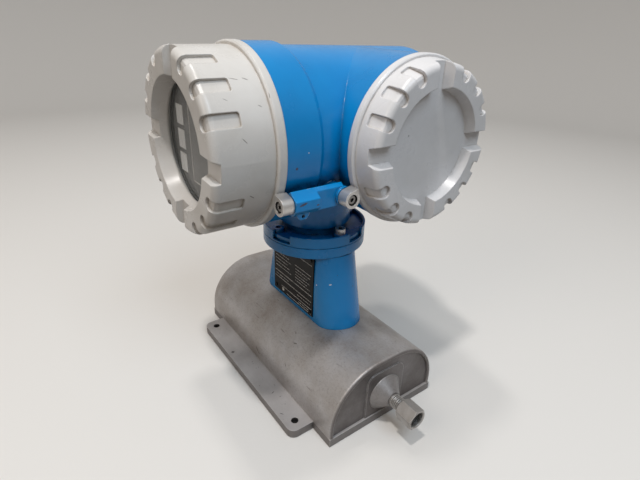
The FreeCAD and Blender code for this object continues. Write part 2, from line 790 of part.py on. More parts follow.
lug = prism("lug_form", "YZ_Plane", [
    ("-lug_width / 2", "-bridge_r / 2"), ("lug_width / 2", "-bridge_r / 2"), ("lug_width / 2", "-bridge_r"),
    ("lug_width / 4", lug_low), ("-lug_width / 4", lug_low), ("-lug_width / 2", "-bridge_r"),
], "lug_thick", (lug_x, lug_y, claw_z))
entry_bosses, entry_holes = [], []
for i, side in enumerate(("-", "+"), start=1):
    entry_y = f"terminal_offset {side} entry_span / 2"
    entry_bosses.append(rod(
        f"entry_boss_{i}", "entry_boss_r", "entry_reach - 20", ("-20", entry_y, AXIS), TO_LEFT))
    entry_holes.append(rod(f"entry_hole_{i}", "entry_r", "entry_reach", ("-5", entry_y, AXIS), TO_LEFT))
earth_z = f"({AXIS} - earth_drop)"
earth_face = "(max(rear_reach; terminal_offset + terminal_barrel_r) + earth_boss_rise)"
earth_boss = rod(
    "earth_boss", "earth_boss_r", f"{earth_face} - (rear_reach - rear_round)",
    ("earth_x", "rear_reach - rear_round", earth_z), TO_REAR)

display_bore = rod(
    "display_bore", "display_bore_r", f"{display_tip} - display_bore_end + 1",
    ("0", "-display_bore_end", AXIS), TO_FRONT)
terminal_bore = rod(
    "terminal_bore", "terminal_bore_r", f"{terminal_tip} + terminal_bore_end + 1",
    ("-terminal_bore_end", "terminal_offset", AXIS), TO_RIGHT)
seats, seat_holes = [], []
for turn in QUARTERS:
    seat_at = (f"seat_circle_r * cos({turn})", f"seat_circle_r * sin({turn})")
    seats.append(rod(
        f"seat_{turn}", "seat_r", "seat_height - bell_height / 2",
        (*seat_at, COLLAR_TOP + " + bell_height / 2"), AS_DRAWN))
    seat_holes.append(rod(
        f"seat_hole_{turn}", "fixing_r", "fixing_depth + 2",
        (*seat_at, COLLAR_TOP + " + seat_height - fixing_depth"), AS_DRAWN))
lug_hole = rod(
    "lug_hole", "lug_hole_r", "lug_thick + 2",
    (f"{lug_x} - 1", lug_y, f"{claw_z} - bridge_r - lug_drop / 3"), TO_RIGHT)
pivot_depth = "3 * claw_screw_r"
pivot_holes = [
    rod("front_pivot_hole", "claw_screw_r + end_gap", pivot_depth + " + 1",
        (claw_x, f"-{display_end} - 1", claw_z), TO_REAR),
    rod("side_pivot_hole", "claw_screw_r + end_gap", pivot_depth + " + 1",
        (f"{terminal_end} + side_boss_rise + 1", side_claw_y, side_claw_z), TO_LEFT),
]
earth_hole = rod(
    "earth_hole", "fixing_r", "fixing_depth + 1",
    ("earth_x", f"{earth_face} - fixing_depth", earth_z), TO_REAR)
bridge_casting = cut("bridge_casting", bridge, [bridge_relief])
housing_form = fuse(
    "housing_form",
    [main_form, terminal_form, neck_form, bridge_casting, side_boss, lug, earth_boss] + seats + entry_bosses)
transmitter_housing = node(cut(
    "transmitter_housing", housing_form,
    [display_bore, terminal_bore, lug_hole, earth_hole] + seat_holes + pivot_holes + entry_holes))


def seal_ring(label, middle_r, section_r, at, rotation=AS_DRAWN):
    made = doc.addObject("Part::Torus", label)
    made.setExpression("Radius1", bound(middle_r))
    made.setExpression("Radius2", bound(section_r))
    return place(made, at, rotation)


node(seal_ring(
    "neck_seal", "spigot_r - neck_seal_r - moving_gap", "neck_seal_r",
    ("0", "0", COLLAR_TOP + " - spigot_length / 2")))


def cap_screw(label, head_r, head, shank_r, shank, socket, at, rotation=AS_DRAWN):
    """A socket screw: its head stands on its own XY plane and its shank goes down."""
    body = turned(label, [
        ("0", f"-{shank}"), (shank_r, f"-{shank}"), (shank_r, "0"), (head_r, "0"), (head_r, head),
        ("0", head),
    ], at, rotation)
    hexagonal = add_outline(new_sketch(body, "XY_Plane", head), hexagon(socket))
    pocket(body, label + "_socket", hexagonal, f"{head} * 0.6")
    return body


bell_screws = [
    cap_screw(f"bell_screw_{i}", "fixing_head_r", "fixing_head", "fixing_r", "fixing_depth", "fixing_socket",
              (side + "seat_circle_r", "0", COLLAR_TOP + " + seat_height"))
    for i, side in enumerate(("", "-"), start=1)]
node(group("bell_screws", bell_screws))


def screw_cover(side, hollow, at, rotation):
    """A screw-on cover: flange, tapered body with a rounded rim, front well, four notches and grips."""
    flange, thick = f"{side}_flange_r", f"{side}_flange_thick"
    body_r, rim = f"{side}_body_r", f"{side}_rim_r"
    front, depth, rounding = f"{side}_length", f"{side}_grip_depth", f"{side}_round"
    well_floor = f"({front} - {side}_well_depth)"
    bore = f"({side}_thread_r + thread_gap)"
    body = turned(side + "_cover", [
        (bore, "0"), (flange, "0"), (flange, f"{thick} - flange_bevel"), (f"{flange} - flange_bevel", thick),
        (body_r, thick), (rim, front), (f"{side}_well_r", front), (f"{side}_floor_r", well_floor),
    ] + hollow, at, rotation)
    round_edges(
        body, side + "_rim_rounding",
        lambda e, p: near(p.z, sizes[front]) and near(math.hypot(p.x, p.y), sizes[rim]), rounding)
    notch = new_sketch(body, "YZ_Plane", spin=f"{side}_notch_turn", spin_axis=ACROSS)
    notch_floor = f"({side}_notch_width / 2 - notch_lean * {side}_notch_depth)"
    notch_top, notch_low = f"({side}_notch_width / 2 + notch_lean * 2)", f"({front} - {side}_notch_depth)"
    add_outline(notch, [
        ("-" + notch_floor, notch_low), (notch_floor, notch_low),
        (notch_top, f"{front} + 2"), ("-" + notch_top, f"{front} + 2"),
    ])
    polar(body, side + "_notches", [pocket(body, side + "_notch", notch, flange, reverse=True)], 4)
    grip_r, low = f"{side}_grip_r", f"({front} - {depth})"
    corner = f"({rounding} - {depth}) * sqrt(0.5)"
    round_r, round_z, outside = f"({rim} - {rounding})", f"({front} - {rounding})", f"({flange} + 2)"
    grip_back, above = f"({front} - {side}_grip_length)", f"({front} + 2)"
    trough_outline = [
        (round_r, low), (f"{round_r} + {corner}", f"{round_z} + {corner}"), (f"{rim} - {depth}", round_z),
        (f"{body_r} - {depth}", grip_back), (outside, grip_back), (outside, above), (round_r, above),
    ]
    for i, step in enumerate(("- grip_spacing", "+ 0", "+ grip_spacing"), start=1):
        lean = f"(45 + {side}_grip_turn {step})"
        trough = add_outline(new_sketch(body, "XZ_Plane", spin=lean, spin_axis=ACROSS), trough_outline)
        channel = pocket(body, f"{side}_grip_{i}", trough, f"2 * {grip_r}", both=True)
        mouth = add_circle(
            new_sketch(body, "XY_Plane", front),
            f"{round_r} * cos({lean})", f"{round_r} * sin({lean})", grip_r)
        polar(body, f"{side}_grips_{i}", [channel, pocket(body, f"{side}_grip_end_{i}", mouth, depth)], 4)
    back_z = sizes[front] - sizes[f"{side}_grip_length"]
    round_edges(body, side + "_grip_corners", lambda e, p: near(p.z, back_z) and radial(e, p), "grip_corner")
    return body


# Display cover with its window glass, retaining ring and seal
glass_front = "(display_length - display_well_depth - lip_thick)"
glass_back = "(display_length - display_well_depth - lip_thick - glass_thick)"
glass_r = "(display_floor_r + glass_lap)"
cavity_r = "(display_thread_r - 4)"
shoulder = "(display_nose + 2 * seal_r + 2 * moving_gap)"
display_thread = "(display_thread_r + thread_gap)"
node(screw_cover("display", [
    ("display_floor_r", glass_front), (glass_r, glass_front), (glass_r, glass_back), (cavity_r, glass_back),
    (cavity_r, shoulder), (display_thread, shoulder),
], DISPLAY_AXIS, TO_FRONT))
glass_edge = f"({glass_r} - end_gap)"
node(turned("window_glass", [
    ("0", glass_back), (glass_edge, glass_back), (glass_edge, glass_front), ("0", glass_front),
], DISPLAY_AXIS, TO_FRONT))
node(tube(
    "window_retainer", f"{cavity_r} - retainer_width", f"{cavity_r} - end_gap",
    f"{glass_back} - retainer_thick", glass_back, DISPLAY_AXIS, TO_FRONT))
node(seal_ring(
    "display_cover_seal", "display_thread_r - 2", "seal_r",
    ("0", "-display_seat - display_nose - seal_r - moving_gap", AXIS), TO_FRONT))

# Display module: a turning drum plugged into the electronics carrier, with screen and touch fields
carrier_face = "(display_nose - 2)"
carrier_back = "(display_nose - 2 - carrier_plate_thick)"
module_front = f"({glass_back} - module_gap)"
module_waist = f"({module_front} - module_thick)"
node(turned("display_module", [
    ("0", f"{carrier_back} - 1"), ("module_pivot_r", f"{carrier_back} - 1"),
    ("module_pivot_r", f"{carrier_face} + moving_gap"), ("module_r - 4", f"{carrier_face} + moving_gap"),
    ("module_r - 4", module_waist), ("module_r", module_waist), ("module_r", module_front),
    ("0", module_front),
], DISPLAY_AXIS, TO_FRONT))
node(prism(
    "display_screen", "XY_Plane",
    box_outline("screen_shift - screen_width / 2", "screen_shift + screen_width / 2",
                "-module_drop - screen_height / 2", "-module_drop + screen_height / 2"),
    "key_thick", DISPLAY_AXIS, TO_FRONT, raised=module_front))
keys = []
for i in (-1, 0, 1):
    middle = f"-module_drop + {i} * key_pitch"
    keys.append(prism(
        f"touch_key_{i + 2}", "XY_Plane",
        box_outline("-key_shift - key_width / 2", "-key_shift + key_width / 2",
                    f"{middle} - key_height / 2", f"{middle} + key_height / 2"),
        "key_thick", DISPLAY_AXIS, TO_FRONT, raised=module_front))
node(group("touch_keys", keys))

# Electronics: carrier plate in the barrel's mouth, two boards behind it and the posts that hold them
node(tube(
    "electronics_carrier", "module_pivot_r + running_gap", "display_bore_r - moving_gap",
    carrier_back, carrier_face, DISPLAY_AXIS, TO_FRONT))
bore_floor = "(display_bore_end - display_seat)"
post_places = [
    (f"post_circle_r * cos(post_turn + {quarter})", f"post_circle_r * sin(post_turn + {quarter})")
    for quarter in QUARTERS]
boards = []
for i in (1, 2):
    board = tube(
        f"board_{i}", "module_pivot_r / 2", "board_r", f"{carrier_back} - {i} * board_pitch - board_thick",
        f"{carrier_back} - {i} * board_pitch", DISPLAY_AXIS, TO_FRONT)
    holes = new_sketch(board, "XY_Plane", f"{carrier_back} - {i} * board_pitch")
    for x, y in post_places:
        add_circle(holes, x, y, "post_r + end_gap")
    pocket(board, f"board_holes_{i}", holes, "board_thick + 1")
    boards.append(board)
node(group("circuit_boards", boards))
posts = [
    rod(f"post_{i}", "post_r", f"{carrier_back} - {bore_floor}",
        (x, "-display_bore_end", f"{AXIS} + {y}"), TO_FRONT)
    for i, (x, y) in enumerate(post_places, start=1)]
node(group("board_posts", posts))

# Terminal cover and its seal
well_face = "(terminal_length - terminal_well_depth)"
inner_face = f"({well_face} - terminal_plate_thick)"
node(screw_cover("terminal", [
    ("0", well_face), ("0", inner_face), ("terminal_thread_r + thread_gap", inner_face),
], TERMINAL_AXIS, TO_RIGHT))
node(seal_ring(
    "terminal_cover_seal", "terminal_thread_r - 2", "seal_r",
    ("terminal_seat + terminal_nose + seal_r + moving_gap", "terminal_offset", AXIS), TO_RIGHT))

# Terminal compartment: back plate, terminal block and its clamp screws
floor_at = ("-terminal_bore_end", "terminal_offset", AXIS)
node(turned("terminal_plate", [
    ("0", "0"), ("terminal_bore_r - moving_gap", "0"), ("terminal_bore_r - moving_gap", "terminal_plate_t"),
    ("0", "terminal_plate_t"),
], floor_at, TO_RIGHT))
block_top = "(terminal_plate_t + block_height)"
node(prism(
    "terminal_block", "XY_Plane",
    box_outline("-block_width / 2", "block_width / 2", "-block_length / 2", "block_length / 2"),
    "block_height", floor_at, TO_RIGHT, raised="terminal_plate_t"))
clamp_screws = []
for i in range(sizes["block_screws"]):
    along_block = f"({i} - (block_screws - 1) / 2) * block_length / (block_screws + 1)"
    screw_y, screw_z = f"terminal_offset + {along_block}", f"{AXIS} + block_width / 4"
    screw_at = (f"-terminal_bore_end + {block_top}", screw_y, screw_z)
    clamp_screws.append(rod(f"clamp_screw_{i + 1}", "block_screw_r", "block_screw_head", screw_at, TO_RIGHT))
node(group("terminal_screws", clamp_screws))


def claw(side, at, rotation, turn):
    """A swinging claw: round body with one square corner beside the cover, bored and sunk for its screw."""
    blank = rod(side + "_claw_barrel", "claw_r", "claw_length", at, rotation)
    corner = prism(
        side + "_claw_corner", "XY_Plane", box_outline("-claw_r", "0", "0", "claw_r"), "claw_length",
        at, rotation, spin=turn)
    bore_r, sink_r = "(claw_screw_r + running_gap)", "claw_sink_r"
    sink, above = "(claw_length - claw_head_sink)", "(claw_length + 1)"
    bore = turned(side + "_claw_bore", [
        ("0", "-1"), (bore_r, "-1"), (bore_r, sink), (sink_r, sink), (sink_r, above), ("0", above),
    ], at, rotation)
    return cut(side + "_claw", fuse(side + "_claw_form", [blank, corner]), [bore])


# Cover claws on the bridge and their pivot screws
front_claw_at = (claw_x, "-display_seat", claw_z)
side_claw_at = ("terminal_seat + side_boss_rise", side_claw_y, side_claw_z)
node(claw("display", front_claw_at, TO_FRONT, "-claw_turn"))
node(claw("terminal", side_claw_at, TO_RIGHT, "claw_turn"))
head_seat = "(claw_length - claw_head_sink + moving_gap)"
pivot_shank = f"({head_seat} + moving_gap + {pivot_depth})"
pivot_head = "(claw_head_sink - moving_gap - 1)"
node(group("claw_screws", [
    cap_screw("front_claw_screw", "claw_head_r", pivot_head, "claw_screw_r", pivot_shank, "claw_socket",
              (claw_x, f"-display_seat - {head_seat}", claw_z), TO_FRONT),
    cap_screw("side_claw_screw", "claw_head_r", pivot_head, "claw_screw_r", pivot_shank, "claw_socket",
              (f"terminal_seat + side_boss_rise + {head_seat}", side_claw_y, side_claw_z), TO_RIGHT),
]))

# Cable glands on the hidden side: threaded body, dome nut and rubber insert, one set per entry
bodies, dome_nuts, inserts = [], [], []
insert_back, insert_front = "(gland_hex_thick - 2)", "(gland_hex_thick + gland_nut_length + gland_insert_out)"
for i, side in enumerate(("-", "+"), start=1):
    at = ("-entry_reach", f"terminal_offset {side} entry_span / 2", AXIS)
    hex_part = prism(f"gland_hex_{i}", "XY_Plane", hexagon("gland_hex"), "gland_hex_thick", at, TO_LEFT)
    thread = rod(f"gland_thread_{i}", "entry_r - end_gap", "gland_thread_length + 1",
                 (f"{at[0]} + gland_thread_length", at[1], at[2]), TO_LEFT)
    way_low, way_high = "(-gland_thread_length - 1)", "(gland_hex_thick + 1)"
    way = turned(f"gland_way_{i}", [
        ("0", way_low), ("cable_r + 1", way_low), ("cable_r + 1", insert_back),
        ("gland_insert_r", insert_back), ("gland_insert_r", way_high), ("0", way_high),
    ], at, TO_LEFT)
    bodies.append(cut(f"gland_body_{i}", fuse(f"gland_blank_{i}", [hex_part, thread]), [way]))
    nut = tube(
        f"dome_nut_{i}", "gland_insert_r", "gland_nut_r", "gland_hex_thick",
        "gland_hex_thick + gland_nut_length", at, TO_LEFT)
    round_edges(
        nut, f"dome_nut_rounding_{i}",
        lambda e, p: near(p.z, sizes["gland_hex_thick"] + sizes["gland_nut_length"])
        and near(math.hypot(p.x, p.y), sizes["gland_nut_r"]), "gland_nut_r - gland_insert_r - 1")
    dome_nuts.append(nut)
    inserts.append(tube(
        f"insert_{i}", "cable_r", "gland_insert_r - end_gap", insert_back, insert_front, at, TO_LEFT))
node(group("cable_gland_bodies", bodies))
node(group("cable_gland_nuts", dome_nuts))
node(group("cable_gland_inserts", inserts))

# Earth screw: slotted head on a washer, at the back of the housing
earth_at = ("earth_x", earth_face, earth_z)
earth_screw = node(turned("earth_screw", [
    ("0", "-fixing_depth"), ("fixing_r", "-fixing_depth"), ("fixing_r", "0"), ("earth_washer_r", "0"),
    ("earth_washer_r", "earth_washer"), ("earth_head_r", "earth_washer"),
    ("earth_head_r", "earth_washer + earth_head"), ("0", "earth_washer + earth_head"),
], earth_at, TO_REAR))
slot = add_outline(
    new_sketch(earth_screw, "XY_Plane", "earth_washer + earth_head"),
    box_outline("-earth_head_r - 1", "earth_head_r + 1", "-earth_slot / 2", "earth_slot / 2"))
pocket(earth_screw, "earth_slot_cut", slot, "earth_head / 2")

# Check every object, then write each piece's file
doc.recompute()
for thing in doc.Objects:
    if {"Invalid", "Error"} & set(thing.State):
        raise RuntimeError(f"{thing.Label}: {thing.State}")
os.makedirs("parts", exist_ok=True)
for thing in nodes:
    if thing.Shape.isNull() or not thing.Shape.isValid():
        raise RuntimeError(f"{thing.Label}: bad shape")
    thing.Shape.exportStep(f"parts/{thing.Label}.step")
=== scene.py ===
import math
import bmesh
import bpy
from mathutils import Matrix, Vector


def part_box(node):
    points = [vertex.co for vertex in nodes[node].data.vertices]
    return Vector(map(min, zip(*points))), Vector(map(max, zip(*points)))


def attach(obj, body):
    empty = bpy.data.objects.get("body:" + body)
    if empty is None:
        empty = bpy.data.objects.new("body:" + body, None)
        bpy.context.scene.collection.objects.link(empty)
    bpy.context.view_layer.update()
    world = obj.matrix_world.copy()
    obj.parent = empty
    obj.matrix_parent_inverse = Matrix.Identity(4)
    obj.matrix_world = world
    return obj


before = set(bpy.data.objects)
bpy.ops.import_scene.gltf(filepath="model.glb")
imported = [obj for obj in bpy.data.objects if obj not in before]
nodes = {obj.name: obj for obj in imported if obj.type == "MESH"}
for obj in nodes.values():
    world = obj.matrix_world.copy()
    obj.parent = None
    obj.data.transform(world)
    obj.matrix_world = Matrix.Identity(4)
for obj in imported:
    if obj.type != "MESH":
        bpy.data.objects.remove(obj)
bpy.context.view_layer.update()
scene = bpy.context.scene
scene.view_settings.view_transform = "Standard"


# Base plate: a flat stainless plate, cut and drilled, with a wing on each side for the fixing bolts.
# Its rolled face has dulled to a soft grey with faint rolling lines, pits and one round punch mark.
# Its side faces are painted darker than its top as shade, its edges carry a painted highlight, and its
# bores are painted dark as shade.
def linear(colour):
    """Screen colour (0 to 255) as the linear value that a shader socket takes."""
    return [((c / 255 + 0.055) / 1.055) ** 2.4 if c > 10 else c / 255 / 12.92 for c in colour]


def new_finish(name, metallic=0.0, roughness=0.5):
    """A material with its shader, its links and the piece's own coordinates at hand."""
    material = bpy.data.materials.new(name)
    material.use_nodes = True
    tree = material.node_tree
    shader = tree.nodes["Principled BSDF"]
    shader.inputs["Metallic"].default_value = metallic
    shader.inputs["Roughness"].default_value = roughness
    place = tree.nodes.new("ShaderNodeTexCoord").outputs["Object"]
    return {"material": material, "tree": tree, "shader": shader, "place": place}


def join(finish, kind, inputs, output, **options):
    """Adds a node, links or sets its inputs, and gives back one of its outputs."""
    node = finish["tree"].nodes.new(kind)
    for key, value in options.items():
        setattr(node, key, value)
    for key, value in inputs.items():
        if isinstance(value, bpy.types.NodeSocket):
            finish["tree"].links.new(value, node.inputs[key])
        else:
            node.inputs[key].default_value = value
    return node.outputs[output]


def grain(finish, scale, detail=4.0, roughness=0.6, stretch=(1, 1, 1), turn=(0, 0, 0)):
    """Noise over the piece, drawn out or turned where asked; scale is in cycles per metre."""
    place = join(finish, "ShaderNodeMapping", {
        "Vector": finish["place"], "Rotation": turn, "Scale": stretch}, "Vector")
    settings = {"Vector": place, "Scale": scale, "Detail": detail, "Roughness": roughness}
    return join(finish, "ShaderNodeTexNoise", settings, "Fac")


def ramp(finish, source, stops):
    """A colour ramp through (position, screen colour) stops."""
    node = finish["tree"].nodes.new("ShaderNodeValToRGB")
    steps = node.color_ramp.elements
    while len(steps) < len(stops):
        steps.new(0.5)
    for step, (position, colour) in zip(steps, stops):
        step.position = position
        step.color = (*linear(colour), 1)
    finish["tree"].links.new(source, node.inputs["Fac"])
    return node.outputs["Color"]


def spread(finish, source, low, high, to_low, to_high):
    """Maps a range of values onto another, held at both ends."""
    settings = {"Value": source, "From Min": low, "From Max": high, "To Min": to_low, "To Max": to_high}
    return join(finish, "ShaderNodeMapRange", settings, "Result")


def over(finish, factor, under, top):
    """Lays a screen colour over another colour by a factor."""
    settings = {"Factor": factor, "A": under, "B": (*linear(top), 1)}
    return join(finish, "ShaderNodeMix", settings, "Result", data_type="RGBA")


def tint(finish, under, top, source, low, high, strength):
    """Lays a screen colour over another as a source goes from low to high, up to a strength."""
    return over(finish, spread(finish, source, low, high, 0.0, strength), under, top)


def times(finish, one, other):
    """The product of two masks."""
    return join(finish, "ShaderNodeMath", {0: one, 1: other}, "Value", operation="MULTIPLY")


def edges(finish, radius):
    """The normal with edges softened by a radius in metres, and a mask of the places where that shows."""
    soft = join(finish, "ShaderNodeBevel", {"Radius": radius}, "Normal", samples=6)
    plain = join(finish, "ShaderNodeNewGeometry", {}, "Normal")
    match = join(finish, "ShaderNodeVectorMath", {0: soft, 1: plain}, "Value", operation="DOT_PRODUCT")
    return soft, spread(finish, match, 0.985, 0.85, 0.0, 1.0)


def facing(finish, axis):
    """How squarely the surface faces along an axis of the piece, either way."""
    normal = join(finish, "ShaderNodeTexCoord", {}, "Normal")
    share = join(finish, "ShaderNodeSeparateXYZ", {"Vector": normal}, axis)
    return join(finish, "ShaderNodeMath", {0: share}, "Value", operation="ABSOLUTE")


def hollows(finish, reach, alone=True):
    """A mask of the bores and corners, used for painted shade and for settled dirt, of one piece alone or
    also between pieces.
    """
    open_share = join(finish, "ShaderNodeAmbientOcclusion", {"Distance": reach}, "AO",
                      samples=6, only_local=alone)
    return spread(finish, open_share, 0.72, 0.4, 0.0, 1.0)


def marks(finish, under, colour, strength, streaks):
    """Ragged streaks, each a start, a run and a half-width in millimetres; a run of nothing is a spot."""
    ragged = grain(finish, 900, 3)
    for *start, run_x, run_y, run_z, width in streaks:
        run = Vector((run_x, run_y, run_z)) / 1000
        turn = run.to_track_quat("X", "Z").to_euler()
        half = run.length / 2 + width / 1000
        near = join(finish, "ShaderNodeMapping", {
            "Vector": finish["place"], "Location": Vector(start) / 1000 + run / 2, "Rotation": turn,
            "Scale": (half, width / 1000, width / 1000)}, "Vector", vector_type="TEXTURE")
        away = join(finish, "ShaderNodeVectorMath", {0: near}, "Value", operation="LENGTH")
        edge = join(finish, "ShaderNodeMath", {0: away, 1: ragged}, "Value", operation="ADD")
        under = tint(finish, under, colour, edge, 1.5, 1.25, strength)
    return under


def wire(finish, socket, source):
    """Links a value to one of the shader's sockets."""
    finish["tree"].links.new(source, finish["shader"].inputs[socket])


def relief(finish, height, strength, depth, normal):
    """Bump from a height over a softened normal; depth is in metres."""
    settings = {"Height": height, "Strength": strength, "Distance": depth, "Normal": normal}
    wire(finish, "Normal", join(finish, "ShaderNodeBump", settings, "Normal"))


def wear(finish, *names):
    """Puts a finish on CAD pieces."""
    for name in names:
        nodes[name].data.materials.clear()
        nodes[name].data.materials.append(finish["material"])


rolled_shades = [(0.3, (158, 153, 150)), (0.5, (177, 172, 170)), (0.7, (190, 186, 184))]
side_shade_grey, pit_brown, nick_grey = (106, 100, 98), (84, 78, 74), (62, 58, 56)
plate_edge_highlight, plate_bore_shade = (220, 218, 214), (24, 22, 21)
punch_mark = (-29.9, -77.2, 8, 0, 0, 0, 1.8)
wing_nicks = [(66, -79, 8, 3, 2, 0, 0.4), (41, -70, 8, 1, -3, 0, 0.4)]
base_finish = new_finish("base_plate_steel", metallic=0.4)
blotch = grain(base_finish, 22, 6)
rolled = grain(base_finish, 700, 3, stretch=(0.06, 1, 1))
pits = grain(base_finish, 330, 2)
base_soft, base_edge = edges(base_finish, 0.0007)
base_colour = ramp(base_finish, blotch, rolled_shades)
# Painted shade: faces that don't face up or down are darkened.
base_colour = tint(base_finish, base_colour, side_shade_grey, facing(base_finish, "Z"), 0.8, 0.3, 0.7)
base_colour = tint(base_finish, base_colour, pit_brown, pits, 0.7, 0.74, 0.6)
# Painted highlight along the plate's edges.
base_colour = over(base_finish, times(base_finish, base_edge, blotch), base_colour, plate_edge_highlight)
# Painted shade: the bores and corners are darkened.
base_colour = over(base_finish, hollows(base_finish, 0.008), base_colour, plate_bore_shade)
base_colour = marks(base_finish, base_colour, nick_grey, 0.8, [punch_mark, *wing_nicks])
wire(base_finish, "Base Color", base_colour)
wire(base_finish, "Roughness", spread(base_finish, rolled, 0.3, 0.7, 0.42, 0.58))
relief(base_finish, rolled, 0.12, 0.0003, base_soft)
wear(base_finish, "base_plate")

# Sensor casing, end plates and pipe cones: stainless sheet, rolled and welded, then bead blasted dull.
# Handling has left brown stains and fine scratches on its back, and the end rims carry a painted
# highlight.
# The end plates, the pipe cones and the end faces of the shell are painted darker than its back, as shade.
end_shade_grey, dull_patch, rim_highlight = (104, 98, 96), (96, 89, 84), (228, 226, 224)
bright_scratch, dark_scratch = (206, 203, 199), (84, 76, 70)
speck_brown, stain_brown = (80, 72, 66), (84, 75, 68)
back_stains = [
    (-11, -59.9, 20, 4, 0, -3, 1.2), (-6, -60, 16, 1, 0, 0, 1.0), (37, -45.8, 50.9, 3, 0.8, 1, 0.8),
    (31.2, -39.9, 56, 0, 0, 0, 0.7), (38.7, -56.7, 33.7, 4, -0.8, -3, 0.5)]
long_scratches = [(47.9, -42.1, 54.3, 4.4, -7.8, -9.4, 0.35), (53.2, -51.4, 44, 4.5, -6.6, -14.2, 0.35)]


def blasted_steel(name, end_shade_share, highlight_share, shades):
    """Bead-blasted stainless, its end faces darkened by painted shade and its edges given a painted
    highlight, each by a share from 0 to 1.
    """
    finish = new_finish(name, metallic=0.6)
    stain = grain(finish, 20, 10, 0.68)
    specks = grain(finish, 560, 3, 0.7)
    lines = grain(finish, 420, 3, 0.6, stretch=(0.12, 1, 1), turn=(0.4, 0.5, 0.7))
    soft, edge = edges(finish, 0.0012)
    colour = ramp(finish, stain, shades)
    # Painted shade: faces that face along the piece's X axis are darkened by this share.
    colour = tint(finish, colour, end_shade_grey, facing(finish, "X"), 0.4, 0.9, end_shade_share)
    colour = tint(finish, colour, dull_patch, specks, 0.5, 0.3, 0.28)
    colour = tint(finish, colour, bright_scratch, lines, 0.66, 0.74, 0.16)
    colour = tint(finish, colour, dark_scratch, lines, 0.34, 0.26, 0.5)
    colour = tint(finish, colour, speck_brown, specks, 0.68, 0.72, 0.6)
    colour = marks(finish, colour, stain_brown, 0.6, back_stains)
    colour = marks(finish, colour, dark_scratch, 0.75, long_scratches)
    # Painted highlight on the edges, patchy along the stain grain, up to this share.
    highlit_edge = times(finish, edge, spread(finish, stain, 0.35, 0.55, highlight_share / 3, highlight_share))
    wire(finish, "Base Color", over(finish, highlit_edge, colour, rim_highlight))
    wire(finish, "Roughness", spread(finish, stain, 0.3, 0.7, 0.54, 0.4))
    relief(finish, grain(finish, 1000, 2), 0.4, 0.0003, soft)
    return finish


casing_finish = blasted_steel("blasted_stainless", 0.9, 0.35, [
    (0.28, (148, 138, 131)), (0.44, (169, 163, 159)), (0.58, (181, 177, 176)), (0.78, (196, 194, 195))])
wear(casing_finish, "sensor_casing")
# The pipe cones get a darker copy of the same stainless: painted shade.
cone_shaded_finish = blasted_steel("cone_shaded_steel", 0.0, 0.5, [
    (0.28, (120, 113, 110)), (0.44, (138, 133, 131)), (0.6, (149, 145, 144)), (0.8, (160, 157, 157))])
wear(cone_shaded_finish, "inlet_dome", "outlet_dome")
# The end plates get a still darker copy of it: painted shade.
end_plate_shaded_finish = blasted_steel("end_plate_shaded_steel", 0.0, 0.35, [
    (0.3, (86, 79, 76)), (0.44, (104, 98, 96)), (0.56, (116, 111, 110)), (0.74, (132, 128, 128))])
wear(end_plate_shaded_finish, "inlet_end_plate", "outlet_end_plate")

# Glands, coupling nuts, claws and screws: turned stainless with fine tool marks, painted shade in its
# bores and a painted highlight on its edges.
# The nuts turn freely on the glands and have gone dull; the claws are rubbed bright, their screws less so.
turned_edge_highlight, turned_bore_shade = (230, 228, 225), (36, 33, 31)


def turned_steel(name, metallic, shades):
    """Turned stainless in three shades, from its dull to its clean spots."""
    finish = new_finish(name, metallic=metallic)
    dull = grain(finish, 70, 5)
    soft, edge = edges(finish, 0.0004)
    colour = ramp(finish, dull, list(zip((0.3, 0.52, 0.75), shades)))
    # Painted highlight on every edge of the turned pieces.
    colour = over(finish, edge, colour, turned_edge_highlight)
    # Painted shade: bores and corners of the turned pieces are darkened.
    wire(finish, "Base Color", over(finish, hollows(finish, 0.012), colour, turned_bore_shade))
    wire(finish, "Roughness", spread(finish, dull, 0.3, 0.7, 0.46, 0.32))
    relief(finish, grain(finish, 900, 3), 0.08, 0.0002, soft)
    return finish


turned_finish = turned_steel("turned_stainless", 0.7, ((150, 145, 140), (172, 168, 165), (190, 187, 185)))
wear(turned_finish, "inlet_gland", "outlet_gland", "inlet_nut", "outlet_nut", "measuring_tube",
     "temperature_sensor", "terminal_screws", "board_posts")
bright_finish = turned_steel("bright_stainless", 0.75, ((178, 173, 168), (200, 196, 192), (214, 211, 208)))
wear(bright_finish, "bell_screws", "display_claw", "terminal_claw", "earth_screw")
screw_finish = turned_steel("screw_steel", 0.8, ((118, 114, 111), (138, 134, 131), (154, 151, 149)))
wear(screw_finish, "claw_screws")
# A darker copy of the turned stainless, used for the thread in the nuts' bores: painted shade.
bore_shade_finish = turned_steel("bore_shade_steel", 0.7, ((54, 50, 48), (72, 68, 65), (92, 88, 85)))


# Threads: a coarse screw thread cut in each coupling nut's mouth, and one on each gland behind the nut.
# The thread in the nut is painted dark as the shade inside the bore; the one on the gland is as clean as
# the gland.
def place_mesh(mesh, name, finish, body):
    """Makes an object from a bmesh, gives it a finish and fixes it to a CAD body."""
    bmesh.ops.recalc_face_normals(mesh, faces=mesh.faces)
    data = bpy.data.meshes.new(name)
    mesh.to_mesh(data)
    mesh.free()
    made = bpy.data.objects.new(name, data)
    made.data.materials.append(finish["material"])
    scene.collection.objects.link(made)
    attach(made, body)


def extent(name):
    """Lowest and highest corner of a CAD piece, in metres."""
    return [Vector(corner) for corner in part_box(name)]


